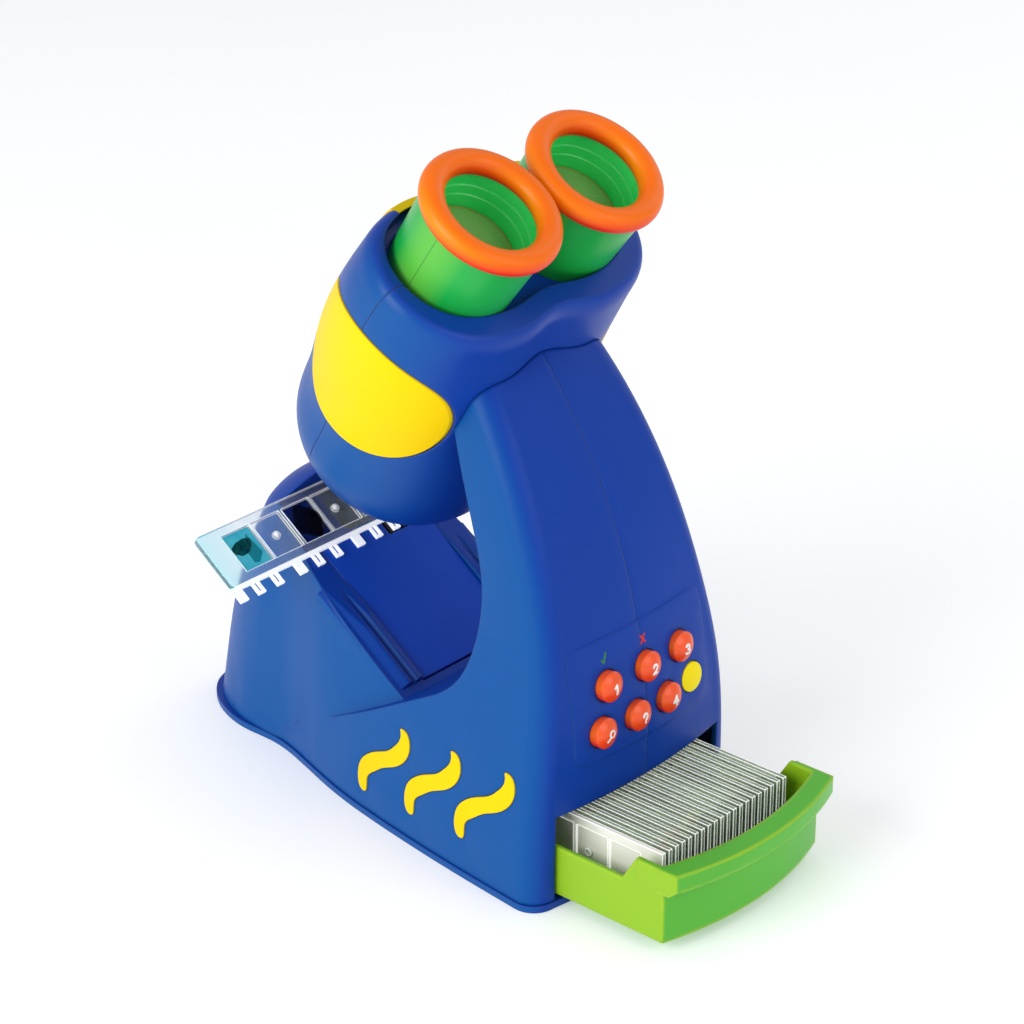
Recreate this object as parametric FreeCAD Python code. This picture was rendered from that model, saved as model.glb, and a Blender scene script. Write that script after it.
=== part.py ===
import FreeCAD, Part
import math
import os

"""Toy electronic microscope: clamshell body, tilted head with two eyepieces, picture slide on a
sloping stage, keys on the tower and a drawer of spare slides.  Millimetres, +Z up, -Y faces the
child, origin on the base's underside in the mid-plane."""

V = FreeCAD.Vector

# ---- driving dimensions -------------------------------------------------------------------
WALL = 2.4                  # moulded shell wall
FIT = 0.35                  # clearance round a moving piece
GAP = 0.25                  # parting gap between moulded pieces

BASE_T = 3.0                # base plate thickness
BASE_LEDGE = 0.7            # how far the base plate stands proud of the shells
FRONT_Y = -127.3            # front face in the mid-plane, lower part
FRONT_BOW = 6.0             # how far the front face bows out over 60 mm of half width
FRONT_R = 251.0             # side-view radius of the tower's front above FRONT_BEND_Z
FRONT_BEND_Z = 56.0
REAR_Y = 121.2              # rearmost point of the base
CORNER = 11.0               # plan radius of the tower's front corners
TOWER_LEVELS = [(0.0, 64.3), (30.0, 63.6), (62.0, 61.2), (110.0, 53.4), (160.0, 47.0),
                (196.0, 41.5), (218.0, 36.8)]      # height, half width at the front corners
# plan of the base's side at z = 0, front to rear: y, half width
SIDE_PLAN = [(-72.0, 59.8), (-26.0, 53.4), (10.0, 46.2), (40.0, 37.2), (60.0, 33.0),
             (80.0, 32.8), (98.0, 28.2), (111.0, 20.2), (118.8, 10.2)]
SIDE_START = (-114.0, 64.0)
# side view of the arch between tower and mound, from under the head round to the base's rear
ARCH = [(-46.0, 232.0), (-57.5, 194.0), (-70.5, 160.0), (-79.6, 131.0), (-79.4, 114.0),
        (-76.0, 99.0), (-70.5, 88.0), (-61.5, 79.0), (-50.0, 71.8), (-34.0, 62.4), (-10.0, 48.4),
        (21.0, 31.0), (49.0, 13.5), (70.0, -2.0)]

MOUND_FRONT = -36.0         # front wall of the mound, behind which the stage starts
# mound: height, half width at the stage, half width at y = 50, rearmost y
MOUND_LEVELS = [(0.0, 45.6, 34.2, 120.6), (48.0, 45.8, 35.6, 108.0), (90.0, 45.6, 36.6, 90.5),
                (118.0, 44.0, 34.6, 73.0), (138.0, 41.0, 31.0, 58.0)]
DOME_AT = (0.0, 30.0, 49.0)            # ellipsoid that rounds the top of the mound
DOME_AXES = (64.5, 72.0, 89.0)

TILT = 35.46                # optical axis, leaning back from the vertical
EYE_Y, EYE_Z = -70.05, 284.85          # midpoint of the eye rings
EYE_X = 31.15               # half the eyepiece spacing
# head frame: x across, v up the stage slope, w up the optical axis (0 at the eye rings)
BALL_W, BALL_V, BALL_R = -135.3, -7.5, 49.6         # spherical lower end
HEAD_BOTTOM = -182.1
# upper head: w, centre v, radius of each lobe, lobe offset
HEAD_LEVELS = [(-116.0, -6.2, 50.4, 4.0), (-94.0, -4.8, 48.6, 13.0), (-72.0, -3.6, 44.8, 23.0),
               (-54.0, -2.8, 41.2, 30.0), (-42.0, -2.5, 40.0, 31.15), (-36.0, -2.5, 39.2, 31.15),
               (-33.2, -2.5, 37.6, 31.15), (-32.0, -2.5, 35.4, 31.15)]
PLATE_TOP = -39.5           # recessed plate the eyepieces stand on
PLATE_T = 2.8
RECESS_R, RECESS_V = 30.4, 1.8         # lobe radius of the recess, and its offset to the rear
TUBE_R_LOW, TUBE_R_TOP = 25.8, 27.6
TUBE_R_IN = 23.0
TUBE_BOTTOM = -66.0
RING_R, RING_TUBE_R = 25.4, 5.2

STAGE_W = -204.0            # face the slide lies on
SLIDE_LEN = 114.0
SLIDE_X = (-84.0, SLIDE_LEN - 84.0)
SLIDE_V = (-22.1, 5.4)
SLIDE_T = 2.9
FRAME = 4.2                 # slide frame border
PICTURE_PITCH = 35.7
PICTURE_START = 11.4         # from the slide's left end to its first picture
PICTURE_W = 16.2
COMB_V = -29.0              # tips of the code comb
READER_X = 6.0              # left end of the code reader, under the head
RAIL_IN, RAIL_OUT = 30.8, 46.0
RAIL_V = (-94.5, -39.0)

DRAWER_W = 51.3             # half width
DRAWER_REAR_W = 43.3        # half width of the rear wall
DRAWER_Z = 5.6              # underside
DRAWER_SIDE_TOP = 28.0
DRAWER_TOP = 40.1
DRAWER_FRONT = -178.2       # front corners, drawer pulled out
DRAWER_BOW = 8.7
DRAWER_REAR = -52.7
DRAWER_WALL = 2.0
RIM_OUT = 7.6               # finger rim overhang
STORED_COUNT = 20
STORED_PITCH = 4.2
STORED_T = 2.0
STORED_H = 31.0
STORED_FRAME_H = 26.6       # height of a stored slide's frame, above its comb
STORED_TEETH = 23

KEY_TILT = 6.0              # the keypad leans back with the tower
KEY_R = 6.5
KEY_PROUD = 5.8
KEY_CROWN = 2.6
KEYS = [("key_1", -22.6, 92.0), ("key_2", 1.0, 92.0), ("key_3", 23.4, 92.0),
        ("key_magnifier", -27.6, 73.2), ("key_question", -7.2, 73.2), ("key_4", 12.8, 73.2)]
POWER_KEY = ("key_power", 30.6, 74.8)
KEYPAD_Z = 82.5             # centre of the keypad
KEYPAD_HALF_W, KEYPAD_HALF_H = 42.5, 22.0
KEYPAD_TOP = 112.0          # top edge of the raised pad, above the printed marks

# centre line of one wave inlay in side view, and the step to the next one
WAVE = [(-38.4, 52.6), (-40.9, 47.4), (-37.6, 40.8), (-31.3, 35.6), (-24.6, 32.2),
        (-17.2, 27.2), (-12.0, 19.6), (-12.6, 11.8)]
WAVE_HALF = [0.7, 3.2, 4.0, 3.6, 3.6, 4.0, 3.2, 0.7]
WAVE_STEP = [(0.0, 0.0), (-32.4, 3.3), (-64.8, 6.8)]

CELL_R, CELL_LEN, CELL_PITCH = 7.15, 50.5, 15.4
CELL_Y = 40.0               # middle of the three cells


# ---- helpers --------------------------------------------------------------------------------
def box(x0, x1, y0, y1, z0, z1):
    return Part.makeBox(x1 - x0, y1 - y0, z1 - z0, V(x0, y0, z0))


def cylinder(radius, w0, w1, x=0.0, y=0.0):
    return Part.makeCylinder(radius, w1 - w0, V(x, y, w0))


def ring(outer, inner, w0, w1, x=0.0, y=0.0):
    return cylinder(outer, w0, w1, x, y).cut(cylinder(inner, w0 - 1, w1 + 1, x, y))


def spline(points, closed=False):
    curve = Part.BSplineCurve()
    curve.interpolate([V(*p) for p in points], PeriodicFlag=closed)
    return curve.toShape()


def prism(wire, direction):
    return Part.Face(wire).extrude(V(*direction))


def polygon(points):
    return Part.makePolygon([V(*p) for p in points] + [V(*points[0])])


def compound(shapes):
    return Part.makeCompound(shapes)


def group(shapes):
    """One node holding several separate solids."""
    solids = [solid for shape in shapes for solid in shape.Solids]
    return Part.makeCompound(solids)


def fuse(shapes):
    return shapes[0].multiFuse(shapes[1:]).removeSplitter()


def rounded_box(x0, x1, y0, y1, z0, z1, radius, axis):
    """Box with its four edges along one axis rounded."""
    block = box(x0, x1, y0, y1, z0, z1)
    edges = [e for e in block.Edges if abs(abs(e.tangentAt(0).dot(axis)) - 1) < 1e-6]
    return block.makeFillet(radius, edges)


def to_head(shape):
    """Move a shape from the head frame (x, v, w) to the part frame."""
    place = FreeCAD.Placement(V(0, EYE_Y, EYE_Z), FreeCAD.Rotation(V(1, 0, 0), TILT))
    return shape.transformed(place.toMatrix())


def mirror_x(shape):
    return shape.mirror(V(0, 0, 0), V(1, 0, 0))


def save(name, shape):
    if not shape.isValid():
        print("INVALID", name)
    bounds = shape.BoundBox
    print("%-22s %2d solids %9.1f mm3  x %.1f..%.1f y %.1f..%.1f z %.1f..%.1f" % (
        name, len(shape.Solids), shape.Volume, bounds.XMin, bounds.XMax,
        bounds.YMin, bounds.YMax, bounds.ZMin, bounds.ZMax))
    shape.exportStep("parts/" + name + ".step")


# ---- body ------------------------------------------------------------------------------------
def front_y(z):
    """Front face in the mid-plane at one height."""
    rise = max(0.0, z - FRONT_BEND_Z)
    return FRONT_Y + FRONT_R - math.sqrt(FRONT_R ** 2 - rise ** 2)


def plan_wire(z, half, grow):
    """Plan outline of the base and tower at one height."""
    y_mid = front_y(z) - grow
    scale = half / TOWER_LEVELS[0][1]
    x_side = half + grow
    x_front = x_side - CORNER
    y_front = y_mid + FRONT_BOW * (x_front / 60.0) ** 2
    y_side = y_front + CORNER + 0.6
    x_start = x_side - 0.2
    rear = REAR_Y + grow
    squeeze = (rear - y_side) / (REAR_Y - SIDE_START[0])
    left = [(-x_start, y_side, z)]
    for y, x in SIDE_PLAN:
        left.append((-(x * scale + grow), rear - (REAR_Y - y) * squeeze, z))
    right = [(-x, y, z) for x, y, z in reversed(left)]
    side = spline(left + [(0, rear, z)] + right)
    front = Part.Arc(V(-x_front, y_front, z), V(0, y_mid, z), V(x_front, y_front, z)).toShape()
    knee_x = x_side - 0.28 * CORNER
    knee_y = y_front + 0.30 * CORNER
    corner_l = Part.Arc(V(-x_front, y_front, z), V(-knee_x, knee_y, z),
                        V(-x_start, y_side, z)).toShape()
    corner_r = Part.Arc(V(x_front, y_front, z), V(knee_x, knee_y, z),
                        V(x_start, y_side, z)).toShape()
    return Part.Wire([front, corner_r, side, corner_l])


def tower_solid(grow=0.0):
    """Base and tower as one tall loft, before the arch is cut out of it."""
    wires = [plan_wire(z, half, grow) for z, half in TOWER_LEVELS]
    return Part.makeLoft(wires, True, False)


def arch_cut(dy=0.0, dz=0.0):
    """Everything behind the tower and above the base, right across the body."""
    points = [(-120.0, y + dy, z + dz) for y, z in ARCH]
    curve = spline(points)
    last, first = points[-1], points[0]
    rest = [last, (-120.0, 170.0, last[2]), (-120.0, 170.0, 260.0),
            (-120.0, first[1], 260.0), first]
    lines = [Part.LineSegment(V(*a), V(*b)).toShape() for a, b in zip(rest, rest[1:])]
    return prism(Part.Wire([curve] + lines), (240, 0, 0))


def mound_wire(level, grow):
    z, half_stage, half_mid, rear = level
    rear += grow
    reach = rear - 50.0
    left = [(half_stage, MOUND_FRONT - grow), (half_stage, -4.0), (half_stage - 2.6, 22.0),
            (half_mid, 50.0), (half_mid * 0.965, 50.0 + reach * 0.33),
            (half_mid * 0.80, 50.0 + reach * 0.66), (half_mid * 0.46, 50.0 + reach * 0.90)]
    points = [(-x - grow, y, z) for x, y in left]
    points.append((0, rear, z))
    points += [(-x, y, z) for x, y, z in reversed(points[:-1])]
    side = spline(points)
    front = Part.LineSegment(V(*points[-1]), V(*points[0])).toShape()
    return Part.Wire([side, front])


def mound_solid(grow, stage_w):
    """Mound cut off at the stage face, with a domed backstop left behind the slide."""
    wires = [mound_wire(level, grow) for level in MOUND_LEVELS]
    backstop_v = SLIDE_V[1] + FIT - grow
    mound = Part.makeLoft(wires, True, False)
    mound = mound.cut(to_head(box(-90, 90, -190, backstop_v, stage_w, -20)))
    scale = FreeCAD.Matrix()
    scale.scale(*[axis + grow for axis in DOME_AXES])
    dome_top = Part.makeSphere(1.0).transformGeometry(scale)
    dome_top.translate(V(*DOME_AT))
    shoulders = to_head(box(-90, 90, backstop_v, 200, -320, -100)).cut(dome_top)
    upper = box(-90, 90, 20, 150, DOME_AT[2] + 14, 200)
    return mound.cut(shoulders.common(upper))


def stage_rails():
    """The two raised rails beside the stage: outer chamfer, groove and inner lip."""
    low = STAGE_W - 5.0
    profile = [(RAIL_IN, low), (RAIL_IN, STAGE_W + 1.6), (RAIL_IN + 3.2, STAGE_W + 1.9),
               (RAIL_IN + 4.4, STAGE_W + 0.4), (RAIL_IN + 6.2, STAGE_W + 0.4),
               (RAIL_IN + 7.4, STAGE_W + 2.4), (RAIL_IN + 9.0, STAGE_W + 2.4),
               (RAIL_OUT, STAGE_W - 1.6), (RAIL_OUT, low)]
    length = RAIL_V[1] - RAIL_V[0]
    rail = prism(polygon([(x, RAIL_V[0], w) for x, w in profile]), (0, length, 0))
    runout = prism(polygon([(0, RAIL_V[1] - 26.0, STAGE_W + 2.4), (0, RAIL_V[1] + 1, STAGE_W),
                            (0, RAIL_V[1] + 1, STAGE_W + 9), (0, RAIL_V[1] - 26, STAGE_W + 9)]),
                   (60, 0, 0))
    rail = rail.cut(runout)
    return [to_head(rail), to_head(mirror_x(rail))]


def body_outer():
    tower = tower_solid().cut(arch_cut())
    return fuse([tower, mound_solid(0.0, STAGE_W)] + stage_rails())


def body_inner():
    tower = tower_solid(-WALL).cut(arch_cut(-WALL, -WALL * 0.8))
    tower = tower.cut(to_head(head_loft(GAP + WALL)))
    return fuse([tower, mound_solid(-WALL, STAGE_W - 5.6)])


def keypad_frame(shape):
    """Keypad pieces are drawn with +Z out of the front face, origin at the keypad's centre."""
    tilt = FreeCAD.Rotation(V(1, 0, 0), 90.0 - KEY_TILT)
    place = FreeCAD.Placement(V(0, front_y(KEYPAD_Z), KEYPAD_Z), tilt)
    return shape.transformed(place.toMatrix())


def key_spot(x, z):
    """Keypad-frame position of a key, and how far the bowed face lies behind the frame there."""
    lean = math.radians(KEY_TILT)
    up = (z - KEYPAD_Z) / math.cos(lean)
    y_face = front_y(z) + FRONT_BOW * (x / 60.0) ** 2
    depth = (front_y(KEYPAD_Z) - y_face) * math.cos(lean) + (z - KEYPAD_Z) * math.sin(lean)
    return x, up, depth


def wave_wire(x, dy, dz, grow):
    """Tapered S outline round the wave's centre line."""
    one, other = [], []
    for i, ((y, z), half) in enumerate(zip(WAVE, WAVE_HALF)):
        ahead = WAVE[min(i + 1, len(WAVE) - 1)]
        behind = WAVE[max(i - 1, 0)]
        ty, tz = ahead[0] - behind[0], ahead[1] - behind[1]
        size = math.hypot(ty, tz)
        ny, nz = -tz / size * (half + grow), ty / size * (half + grow)
        one.append((x, y + dy + ny, z + dz + nz))
        other.append((x, y + dy - ny, z + dz - nz))
    return Part.Wire([spline(one + other[::-1], closed=True)])


def wave_prisms(grow):
    return [prism(wave_wire(-75.0, dy, dz, grow), (30, 0, 0)) for dy, dz in WAVE_STEP]


def screw(radius, length, head_r, head_t):
    """Pan-head screw pointing up, head underneath, origin at the head's outer face."""
    shank = cylinder(radius, head_t, length)
    head = cylinder(head_r, 0, head_t)
    slot = box(-head_r * 0.6, head_r * 0.6, -0.4, 0.4, -1, head_t * 0.45)
    cross = box(-0.4, 0.4, -head_r * 0.6, head_r * 0.6, -1, head_t * 0.45)
    return shank.fuse(head).removeSplitter().cut(slot).cut(cross)


def moved(shape, x, y, z):
    copy = shape.copy()
    copy.translate(V(x, y, z))
    return copy


# screw places: base bosses (x, y), seam screws (y, z), neck and head screws (x, w in the head frame)
BOSSES = [(-56.6, -104.0), (56.6, -104.0), (-27.6, 77.5), (27.6, 77.5)]
SEAM_SCREWS = [(-85.0, 168.0), (-90.0, 98.0), (62.0, 66.0)]
SEAM_WELL_X = 10.0          # floor of the screw wells in the right-hand shell
NECK_SCREWS = [(-16.0, -78.0), (16.0, -78.0)]
HEAD_SCREWS = [(-40.0, -84.0), (40.0, -84.0), (-28.0, -152.0), (28.0, -152.0)]
HEAD_WELL_V = 8.0           # floor of the screw wells in the rear head shell
NECK_HEAD_V = -54.5         # outer face of the neck screws' heads


def build_body():
    outer = body_outer()
    inner = body_inner()
    pad_low = front_y(KEYPAD_Z)
    pad_block = rounded_box(-KEYPAD_HALF_W, KEYPAD_HALF_W, pad_low - 20, pad_low + 20,
                            KEYPAD_Z - KEYPAD_HALF_H, KEYPAD_TOP, 7.0, V(0, 1, 0))
    pad = tower_solid(0.45).common(pad_block)
    outer = outer.fuse(pad.cut(inner)).removeSplitter()
    under = box(-90, 90, -150, 150, -5, BASE_T)
    shell = outer.cut(inner).cut(under)

    opening = box(-DRAWER_W - 1.3, DRAWER_W + 1.3, -150, -100, 0, 42.4)
    shell = shell.cut(opening)
    for name, x, z in KEYS + [POWER_KEY]:
        kx, ky, depth = key_spot(x, z)
        shell = shell.cut(keypad_frame(cylinder(KEY_R + FIT, -12, 12, kx, ky)))
    head_space = to_head(head_loft(GAP))
    shell = shell.cut(head_space)

    waves = wave_prisms(GAP * 0.6)
    skin = tower_solid(2.0).cut(tower_solid(-1.3))
    pocket = compound([w.common(skin) for w in waves])
    shell = shell.cut(pocket).cut(mirror_x(pocket))

    for x, y in BOSSES:
        top = 24.0 if y < 0 else 30.0
        shell = shell.fuse(cylinder(4.0, BASE_T, top, x, y).common(inner))
        side = math.copysign(1.0, x)
        rib = box(min(x, x + 9 * side), max(x, x + 9 * side), y - 1.2, y + 1.2, BASE_T, top)
        shell = shell.fuse(rib.common(inner))
    for x, y in BOSSES:
        shell = shell.cut(cylinder(1.35, -1, 16.0, x, y))
    recess = to_head(box(-RAIL_IN, RAIL_IN, RAIL_V[0] - 1.2, SLIDE_V[1] + FIT, STAGE_W - 2.6,
                         STAGE_W + 10))
    window = to_head(rounded_box(-26.5, READER_X + 23.4, -30.5, 4.5, STAGE_W - 12, STAGE_W, 3, V(0, 0, 1)))
    shell = shell.cut(recess).cut(window)
    for y, z in SEAM_SCREWS:
        boss = Part.makeCylinder(5.0, 140, V(-70, y, z), V(1, 0, 0)).common(inner)
        shell = shell.fuse(boss)
        shell = shell.cut(Part.makeCylinder(3.5, 90, V(SEAM_WELL_X, y, z), V(1, 0, 0)))
        shell = shell.cut(Part.makeCylinder(1.4, 30, V(-14, y, z), V(1, 0, 0)))
    for x, w in NECK_SCREWS:
        shell = shell.cut(to_head(Part.makeCylinder(1.7, 40, V(x, -70, w), V(0, 1, 0))))
    left = shell.common(box(-90, -0.06, -150, 150, -1, 250))
    right = shell.common(box(0.06, 90, -150, 150, -1, 250))
    return left, right


def biggest(shape):
    return max(shape.Solids, key=lambda solid: solid.Volume)


# ---- head ------------------------------------------------------------------------------------
def lobe_wire(w, centre, radius, offset, waist=0.14, count=36):
    """Closed outline round two lobes, in the head frame; one circle when the offset is nought."""
    points = []
    spread = offset / EYE_X
    for i in range(count):
        angle = 2 * math.pi * i / count
        side = math.tanh(2.3 * math.cos(angle)) / math.tanh(2.3)
        x = offset * side + radius * math.cos(angle)
        pinch = 1 - waist * spread * math.exp(-(x / 17.0) ** 2)
        points.append((x, centre + radius * math.sin(angle) * pinch, w))
    return Part.Wire([spline(points, closed=True)])


def head_loft(grow=0.0):
    """Outside of the head, closed at the rim, in the head frame."""
    wires = []
    for angle in (70.8, 54.0, 37.0, 19.0, 0.0):
        turn = math.radians(angle)
        radius = BALL_R + grow
        w = BALL_W - radius * math.sin(turn)
        wires.append(lobe_wire(w, BALL_V, radius * math.cos(turn), 0.0))
    for w, centre, radius, offset in HEAD_LEVELS:
        wires.append(lobe_wire(w + (grow if w > -40 else 0), centre, radius + grow, offset))
    return Part.makeLoft(wires, True, False)


def below(shape, w):
    return shape.common(box(-120, 120, -120, 120, -300, w))


def head_shell():
    outer = head_loft()
    hollow = below(head_loft(-WALL), PLATE_TOP - PLATE_T)
    recess = prism(lobe_wire(PLATE_TOP, RECESS_V, RECESS_R, EYE_X), (0, 0, 20))
    shell = outer.cut(hollow).cut(recess)
    for x in (-EYE_X, EYE_X):
        shell = shell.cut(cylinder(TUBE_R_LOW + GAP, PLATE_TOP - 12, PLATE_TOP + 2, x, 0))
    for x, w in NECK_SCREWS:
        boss = Part.makeCylinder(3.8, 22, V(x, -62, w), V(0, 1, 0)).common(hollow)
        shell = shell.fuse(boss).cut(Part.makeCylinder(1.25, 30, V(x, -70, w), V(0, 1, 0)))
    for x, w in HEAD_SCREWS:
        boss = Part.makeCylinder(4.6, 120, V(x, -60, w), V(0, 1, 0)).common(hollow)
        shell = shell.fuse(boss)
        shell = shell.cut(Part.makeCylinder(3.3, 60, V(x, HEAD_WELL_V, w), V(0, 1, 0)))
        shell = shell.cut(Part.makeCylinder(1.35, 26, V(x, -12, w), V(0, 1, 0)))
    return shell.cut(cylinder(12.0 + GAP, HEAD_BOTTOM - 5, HEAD_BOTTOM + 20, 0, BALL_V))


def build_case_screws(nodes):
    """Screws that join the two body shells, the two head shells, and the head to the tower."""
    across = FreeCAD.Rotation(V(0, 1, 0), -90)
    seam = []
    for y, z in SEAM_SCREWS:
        place = FreeCAD.Placement(V(SEAM_WELL_X + 1.75, y, z), across)
        seam.append(screw(1.35, 18.0, 3.0, 1.7).transformed(place.toMatrix()))
    nodes["shell_screws"] = group(seam)
    backward = FreeCAD.Rotation(V(1, 0, 0), -90)
    forward = FreeCAD.Rotation(V(1, 0, 0), 90)
    neck = []
    for x, w in NECK_SCREWS:
        place = FreeCAD.Placement(V(x, NECK_HEAD_V, w), backward)
        neck.append(to_head(screw(1.25, 12.0, 2.9, 1.5).transformed(place.toMatrix())))
    nodes["neck_screws"] = group(neck)
    head = []
    for x, w in HEAD_SCREWS:
        place = FreeCAD.Placement(V(x, HEAD_WELL_V + 1.55, w), forward)
        head.append(to_head(screw(1.3, 16.0, 2.9, 1.5).transformed(place.toMatrix())))
    nodes["head_screws"] = group(head)


# side panel outline in the head frame (v, w), from its pointed rear corner round and back
SIDE_PANEL = [(29.5, -66.0), (14.0, -59.2), (-4.0, -56.4), (-22.0, -57.8), (-34.0, -62.6),
              (-41.2, -74.0), (-43.0, -89.0), (-40.0, -101.5), (-32.0, -113.5), (-18.0, -122.8),
              (-2.0, -126.4), (13.0, -124.4), (24.5, -115.0), (29.8, -98.0), (31.0, -80.0)]
# rear panel outline in the head frame (x, w)
REAR_PANEL = [(-38.0, -20.0), (-38.0, -44.0), (-33.0, -66.0), (-20.0, -86.0), (0.0, -94.0),
              (20.0, -86.0), (33.0, -66.0), (38.0, -44.0), (38.0, -20.0)]
LIP_TOP = -34.0             # top edge of the rear panel, just under the rim


def side_panel_prism(grow):
    middle_v = sum(v for v, w in SIDE_PANEL) / len(SIDE_PANEL)
    middle_w = sum(w for v, w in SIDE_PANEL) / len(SIDE_PANEL)
    points = []
    for v, w in SIDE_PANEL:
        size = math.hypot(v - middle_v, w - middle_w)
        points.append((-110.0, v + (v - middle_v) / size * grow, w + (w - middle_w) / size * grow))
    return prism(Part.Wire([spline(points + points[:1])]), (80, 0, 0))


def rear_panel_prism(grow):
    points = [(x + math.copysign(grow, x) if x else x, 110.0, w - (grow if w < -30 else 0))
              for x, w in REAR_PANEL]
    curve = spline(points[1:-1])
    lines = [Part.LineSegment(V(*points[-2]), V(*points[-1])).toShape(),
             Part.LineSegment(V(*points[-1]), V(*points[0])).toShape(),
             Part.LineSegment(V(*points[0]), V(*points[1])).toShape()]
    return prism(Part.Wire([curve] + lines), (0, -90, 0))


def build_head(nodes):
    shell = head_shell()
    skin_out = head_loft(0.5)
    skin_in = head_loft(-1.4)
    skin = skin_out.cut(skin_in)
    left_panel = biggest(skin.common(side_panel_prism(-GAP)))
    side_cut = head_loft(3.0).cut(head_loft(-1.6)).common(side_panel_prism(0.15))
    rear_block = rear_panel_prism(-GAP)
    rear_panel = biggest(below(skin.common(rear_block), LIP_TOP))
    rear_cut = head_loft(3.0).cut(head_loft(-1.6)).common(rear_panel_prism(0.15))
    shell = shell.cut(side_cut).cut(mirror_x(side_cut)).cut(rear_cut)
    notch_x = REAR_PANEL[-1][0]
    shell = shell.cut(box(-notch_x, notch_x, RECESS_R - 4.0, 60, PLATE_TOP, 0))
    front = biggest(shell.common(box(-120, 120, -120, -0.08, -300, 50)))
    rear = biggest(shell.common(box(-120, 120, 0.08, 120, -300, 50)))
    nodes["head_front_shell"] = to_head(front)
    nodes["head_rear_shell"] = to_head(rear)
    nodes["head_left_panel"] = to_head(left_panel)
    nodes["head_right_panel"] = to_head(mirror_x(left_panel))
    nodes["head_rear_panel"] = to_head(rear_panel)


def eyepiece_tube():
    """Turned outline of one eyepiece tube, about its own axis, in the head frame."""
    under = PLATE_TOP - PLATE_T - 0.2
    outline = [(TUBE_R_IN, -2.2), (TUBE_R_TOP, -2.2), (TUBE_R_LOW, PLATE_TOP - 1.0),
               (TUBE_R_LOW, under), (TUBE_R_LOW + 2.2, under), (TUBE_R_LOW + 2.2, under - 2.0),
               (TUBE_R_LOW - 1.4, under - 2.0), (TUBE_R_LOW - 1.4, TUBE_BOTTOM),
               (18.6, TUBE_BOTTOM), (18.6, -46.0), (21.0, -46.0), (21.0, -24.0),
               (TUBE_R_IN - 0.4, -22.0)]
    face = Part.Face(polygon([(r, 0, w) for r, w in outline]))
    return face.revolve(V(0, 0, 0), V(0, 0, 1), 360)


def eye_ring():
    torus = Part.makeTorus(RING_R, RING_TUBE_R)
    groove = ring(TUBE_R_TOP + 0.1, TUBE_R_IN - 0.1, -8.0, -2.1)
    cone = ring(TUBE_R_TOP + 0.5, TUBE_R_IN - 0.1, -8.0, -3.2)
    return torus.cut(groove).cut(cone)


def build_eyepieces(nodes):
    tube = eyepiece_tube()
    halves = {"front": tube.common(box(-60, 60, -60, -0.05, -90, 10)),
              "rear": tube.common(box(-60, 60, 0.05, 60, -90, 10))}
    crown = Part.makeSphere(150.0, V(0, 0, -192.4)).common(cylinder(20.7, -44.0, -40))
    lens = cylinder(20.7, -45.9, -43.9).fuse(crown).removeSplitter()
    retainer = ring(20.9, 19.2, -43.6, -41.6)
    for side, x in (("left", -EYE_X), ("right", EYE_X)):
        for half, shape in halves.items():
            nodes[side + "_tube_" + half] = to_head(moved(shape, x, 0, 0))
        nodes[side + "_eye_ring"] = to_head(moved(eye_ring(), x, 0, 0))
        nodes[side + "_eye_lens"] = to_head(moved(lens, x, 0, 0))
    nodes["lens_retainers"] = group([to_head(moved(retainer, x, 0, 0)) for x in (-EYE_X, EYE_X)])


def build_objective(nodes):
    """Lens and holder in the opening at the bottom of the head."""
    barrel = ring(12.0, 10.0, HEAD_BOTTOM - 0.6, HEAD_BOTTOM + 14.0, 0, BALL_V)
    flange = ring(15.5, 11.0, HEAD_BOTTOM + 6.0, HEAD_BOTTOM + 8.0, 0, BALL_V)
    ledge = ring(10.5, 8.6, HEAD_BOTTOM + 5.0, HEAD_BOTTOM + 6.6, 0, BALL_V)
    nodes["objective_holder"] = to_head(fuse([barrel, flange, ledge]))
    lens = Part.makeSphere(24.0, V(0, BALL_V, HEAD_BOTTOM - 14.6))
    lens = lens.common(cylinder(9.8, HEAD_BOTTOM + 6.7, HEAD_BOTTOM + 12.0, 0, BALL_V))
    nodes["objective_lens"] = to_head(lens)


# ---- keys --------------------------------------------------------------------------------------
def dome(radius, bottom, top, crown):
    """Round key cap with a crowned top."""
    sphere_r = (radius ** 2 + crown ** 2) / (2 * crown)
    ball = Part.makeSphere(sphere_r, V(0, 0, top - sphere_r))
    stem = cylinder(radius, bottom, top)
    return stem.common(ball.fuse(cylinder(radius + 1, bottom - 1, top - crown)))


def build_keys(nodes):
    board_top = -12.0
    holes = []
    for name, x, z in KEYS + [POWER_KEY]:
        kx, ky, depth = key_spot(x, z)
        proud = KEY_PROUD if name != POWER_KEY[0] else 1.6
        cap = dome(KEY_R, board_top + 4.4, depth + proud, KEY_CROWN if proud > 2 else 0.5)
        flange = cylinder(KEY_R + 1.2, board_top + 3.4, board_top + 4.8)
        nodes[name] = keypad_frame(moved(cap.fuse(flange).removeSplitter(), kx, ky, 0))
        holes.append((kx, ky))
    sheet = box(-37, 37, -17, 17, board_top, board_top + 0.9)
    for kx, ky in holes:
        sheet = sheet.fuse(Part.makeCone(4.2, 2.6, 1.1, V(kx, ky, board_top + 0.9)))
    nodes["keypad_membrane"] = keypad_frame(sheet.removeSplitter())
    board = box(-39, 39, -19, 19, board_top - 1.7, board_top - 0.1)
    nodes["keypad_board"] = keypad_frame(board)


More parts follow.
